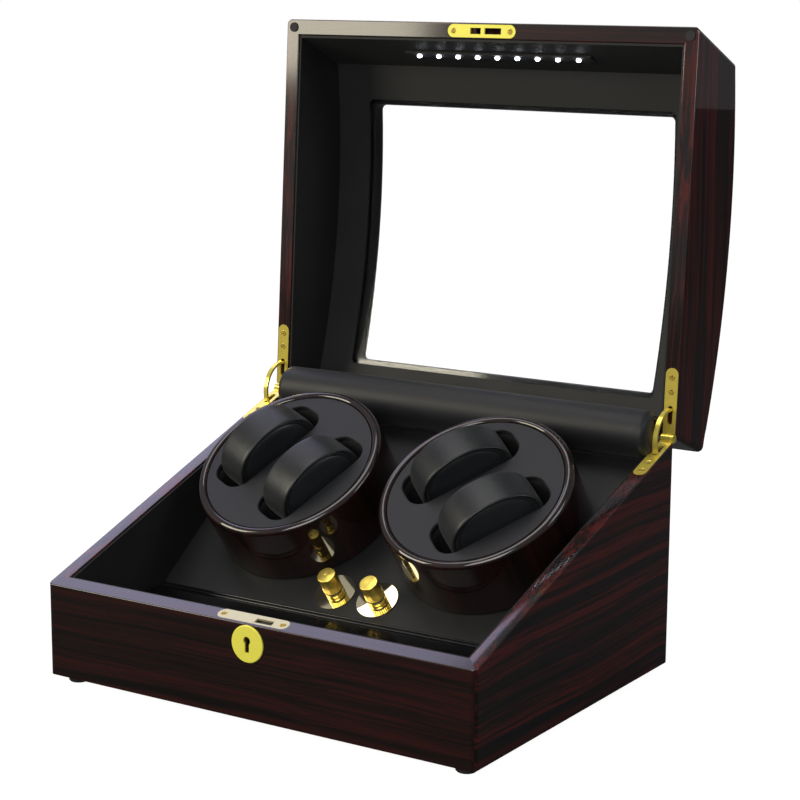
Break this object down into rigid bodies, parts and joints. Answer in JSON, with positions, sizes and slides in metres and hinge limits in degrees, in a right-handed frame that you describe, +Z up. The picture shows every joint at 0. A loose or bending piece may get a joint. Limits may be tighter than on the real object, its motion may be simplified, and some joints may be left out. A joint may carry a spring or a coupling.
{
  "type": "watch winder box",
  "caption": "Lacquered display case with a sloping base, a hinged lid with a curved window, and tilted winding turntables that hold watches on pillows.",
  "frame": {"origin": "middle of the whole open object, seen from above, at the level its rubber feet stand on", "axes": "+X to the right as the lock is faced, -Y towards the front with the lock, +Z up"},
  "size_m": [0.34, 0.3486, 0.4435],
  "materials": {
    "lacquered_ebony": "high-gloss clear lacquer over a dark red-brown striped ebony veneer",
    "lining_leatherette": "fine-grained black leatherette, satin",
    "pillow_leatherette": "soft black leatherette over foam, satin",
    "polished_gold": "polished, gold-coloured plating",
    "clear_acrylic": "clear, polished",
    "led_board": "black solder resist",
    "led_light": "small white light-emitting diodes",
    "black_rubber": "matt moulded rubber",
    "zinc_steel": "zinc-plated steel",
    "sintered_bronze": "oil-filled sintered bronze, matt",
    "white_nylon": "moulded nylon",
    "black_plastic": "moulded plastic",
    "raw_board": "fibreboard stained black",
    "circuit_board": "green solder resist"
  },
  "bodies": {
    "base": {"base_front_panel": "lacquered_ebony", "base_back_panel": "lacquered_ebony", "base_left_panel": "lacquered_ebony", "base_right_panel": "lacquered_ebony", "base_bottom_panel": "raw_board", "base_wall_lining": "lining_leatherette", "deck_board": "lining_leatherette", "front_shelf": "lining_leatherette", "deck_battens": "raw_board", "rear_bolster": "lining_leatherette", "rubber_feet": "black_rubber", "base_screws": "polished_gold", "hinge_base_leaves": "polished_gold", "hinge_pins": "polished_gold", "lock_plate": "polished_gold", "lock_case": "zinc_steel", "escutcheon": "polished_gold", "knob_bezels": "polished_gold", "selector_switches": "black_plastic", "shaft_bushes": "sintered_bronze", "motor_brackets": "zinc_steel", "gearboxes": "black_plastic", "motor_cans": "zinc_steel", "control_board": "circuit_board", "dc_jack": "black_plastic"},
    "lid": {"lid_front_panel": "lacquered_ebony", "lid_back_panel": "lacquered_ebony", "lid_left_panel": "lacquered_ebony", "lid_right_panel": "lacquered_ebony", "lid_top_frame": "lacquered_ebony", "window_pane": "clear_acrylic", "lid_top_lining": "lining_leatherette", "lid_wall_lining": "lining_leatherette", "led_strip": "led_board", "led_chips": "led_light", "lid_bumpers": "black_rubber", "hinge_lid_leaves": "polished_gold", "striker_plate": "polished_gold", "lid_screws": "polished_gold"},
    "lock": {"lock_barrel": "polished_gold", "lock_hook": "zinc_steel"},
    "stay_left": {"stay_arm_left": "polished_gold"},
    "turntable_left": {"drum_shell_left": "lacquered_ebony", "drum_insert_left": "lining_leatherette", "turntable_shaft_left": "zinc_steel", "turntable_gear_left": "white_nylon"},
    "pinion_left": {"drive_pinion_left": "zinc_steel"},
    "knob_left": {"knob_left": "polished_gold"},
    "pillow_left_1": {"pillow_left_1": "pillow_leatherette"},
    "pillow_left_2": {"pillow_left_2": "pillow_leatherette"},
    "stay_right": {"stay_arm_right": "polished_gold"},
    "turntable_right": {"drum_shell_right": "lacquered_ebony", "drum_insert_right": "lining_leatherette", "turntable_shaft_right": "zinc_steel", "turntable_gear_right": "white_nylon"},
    "pinion_right": {"drive_pinion_right": "zinc_steel"},
    "knob_right": {"knob_right": "polished_gold"},
    "pillow_right_1": {"pillow_right_1": "pillow_leatherette"},
    "pillow_right_2": {"pillow_right_2": "pillow_leatherette"}
  },
  "joints": [
    {"name": "lid_hinge", "type": "hinge", "parent": "base", "child": "lid", "pos_m": [0, 0.09016, 0.16498], "axis": [1, 0, 0], "range_deg": [0, 113.34]},
    {"name": "stay_left_swing", "type": "hinge", "parent": "base", "child": "stay_left", "pos_m": [-0.1645, 0.09016, 0.16498], "axis": [1, 0, 0], "range_deg": [0, 56.68]},
    {"name": "stay_right_swing", "type": "hinge", "parent": "base", "child": "stay_right", "pos_m": [0.1645, 0.09016, 0.16498], "axis": [1, 0, 0], "range_deg": [0, 56.68]},
    {"name": "turntable_left_spin", "type": "hinge", "parent": "base", "child": "turntable_left", "pos_m": [-0.077, 0.00686, 0.10021], "axis": [0, -0.5948, 0.8039], "continuous": true},
    {"name": "pinion_left_spin", "type": "hinge", "parent": "base", "child": "pinion_left", "pos_m": [-0.0395, 0.00686, 0.10021], "axis": [0, -0.5948, 0.8039], "continuous": true},
    {"name": "pillow_left_1_lift", "type": "slide", "parent": "turntable_left", "child": "pillow_left_1", "axis": [0, 0.5948, -0.8039], "range_m": [-0.06, 0]},
    {"name": "pillow_left_2_lift", "type": "slide", "parent": "turntable_left", "child": "pillow_left_2", "axis": [0, 0.5948, -0.8039], "range_m": [-0.06, 0]},
    {"name": "knob_left_turn", "type": "hinge", "parent": "base", "child": "knob_left", "pos_m": [-0.0174, -0.04941, 0.05857], "axis": [0, -0.5948, 0.8039], "range_deg": [-150, 150]},
    {"name": "turntable_right_spin", "type": "hinge", "parent": "base", "child": "turntable_right", "pos_m": [0.077, 0.00686, 0.10021], "axis": [0, -0.5948, 0.8039], "continuous": true},
    {"name": "pinion_right_spin", "type": "hinge", "parent": "base", "child": "pinion_right", "pos_m": [0.0395, 0.00686, 0.10021], "axis": [0, -0.5948, 0.8039], "continuous": true},
    {"name": "pillow_right_1_lift", "type": "slide", "parent": "turntable_right", "child": "pillow_right_1", "axis": [0, 0.5948, -0.8039], "range_m": [-0.06, 0]},
    {"name": "pillow_right_2_lift", "type": "slide", "parent": "turntable_right", "child": "pillow_right_2", "axis": [0, 0.5948, -0.8039], "range_m": [-0.06, 0]},
    {"name": "knob_right_turn", "type": "hinge", "parent": "base", "child": "knob_right", "pos_m": [0.0174, -0.04941, 0.05857], "axis": [0, -0.5948, 0.8039], "range_deg": [-150, 150]},
    {"name": "lock_turn", "type": "hinge", "parent": "base", "child": "lock", "pos_m": [0, -0.16758, 0.0593], "axis": [0, -1, 0], "range_deg": [0, 60]}
  ],
  "couplings": [
    {"joint": "stay_left_swing", "follows": "lid_hinge", "ratio": 0.5},
    {"joint": "stay_right_swing", "follows": "lid_hinge", "ratio": 0.5},
    {"joint": "pinion_left_spin", "follows": "turntable_left_spin", "ratio": -4},
    {"joint": "pinion_right_spin", "follows": "turntable_right_spin", "ratio": -4}
  ]
}
